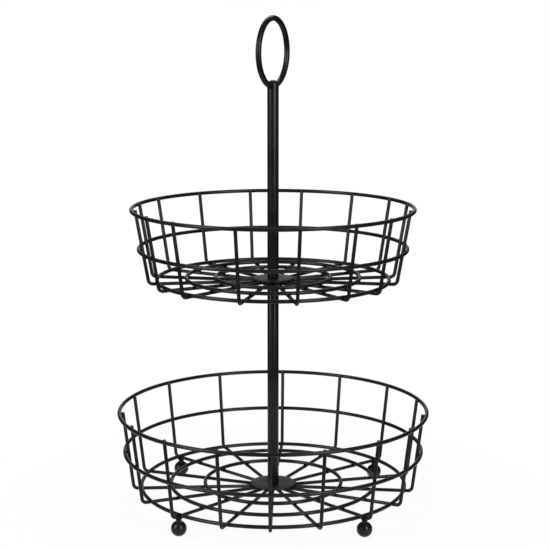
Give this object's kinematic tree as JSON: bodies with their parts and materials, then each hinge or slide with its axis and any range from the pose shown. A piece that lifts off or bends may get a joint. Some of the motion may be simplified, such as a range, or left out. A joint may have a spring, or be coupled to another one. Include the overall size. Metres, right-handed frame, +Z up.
{
  "type": "tiered wire basket",
  "caption": "Two-tier round wire fruit basket: welded ring and rib baskets on a centre post with ball feet and a ring handle on top.",
  "frame": {"origin": "on the axis of the post, on the surface that the four ball feet stand on", "axes": "+Z up along the post, -Y to the front, +X to the right as seen from the front"},
  "size_m": [0.3037, 0.3036, 0.4758],
  "materials": {
    "black_coat": "satin black powder coat over welded steel",
    "zinc_steel": "bright zinc plate"
  },
  "bodies": {
    "stand": {"base_screw": "zinc_steel", "base_washer": "zinc_steel", "foot_back_left": "black_coat", "foot_back_right": "black_coat", "foot_front_left": "black_coat", "foot_front_right": "black_coat", "joining_stud": "zinc_steel", "lower_base_ring": "black_coat", "lower_hub_plate": "black_coat", "lower_inner_floor_ring": "black_coat", "lower_mid_ring": "black_coat", "lower_outer_floor_ring": "black_coat", "lower_post_plug": "black_coat", "lower_post_tube": "black_coat", "lower_rib_01": "black_coat", "lower_rib_02": "black_coat", "lower_rib_03": "black_coat", "lower_rib_04": "black_coat", "lower_rib_05": "black_coat", "lower_rib_06": "black_coat", "lower_rib_07": "black_coat", "lower_rib_08": "black_coat", "lower_rib_09": "black_coat", "lower_rib_10": "black_coat", "lower_rib_11": "black_coat", "lower_rib_12": "black_coat", "lower_rib_13": "black_coat", "lower_rib_14": "black_coat", "lower_rib_15": "black_coat", "lower_rib_16": "black_coat", "lower_rim": "black_coat", "post_collar": "black_coat"},
    "upper_basket": {"upper_base_ring": "black_coat", "upper_hub_plate": "black_coat", "upper_inner_floor_ring": "black_coat", "upper_mid_ring": "black_coat", "upper_outer_floor_ring": "black_coat", "upper_rib_01": "black_coat", "upper_rib_02": "black_coat", "upper_rib_03": "black_coat", "upper_rib_04": "black_coat", "upper_rib_05": "black_coat", "upper_rib_06": "black_coat", "upper_rib_07": "black_coat", "upper_rib_08": "black_coat", "upper_rib_09": "black_coat", "upper_rib_10": "black_coat", "upper_rib_11": "black_coat", "upper_rib_12": "black_coat", "upper_rib_13": "black_coat", "upper_rib_14": "black_coat", "upper_rib_15": "black_coat", "upper_rib_16": "black_coat", "upper_rim": "black_coat"},
    "handle_post": {"handle_post_plug": "black_coat", "handle_post_top_plug": "black_coat", "handle_post_tube": "black_coat", "ring_handle": "black_coat"}
  },
  "joints": [
    {"name": "upper_basket_turn", "type": "hinge", "parent": "stand", "child": "upper_basket", "pos_m": [0, 0, 0.22486], "axis": [0, 0, 1], "continuous": true},
    {"name": "handle_post_unscrew", "type": "hinge", "parent": "stand", "child": "handle_post", "pos_m": [0, 0, 0.22636], "axis": [0, 0, 1], "range_deg": [0, 4230]}
  ]
}
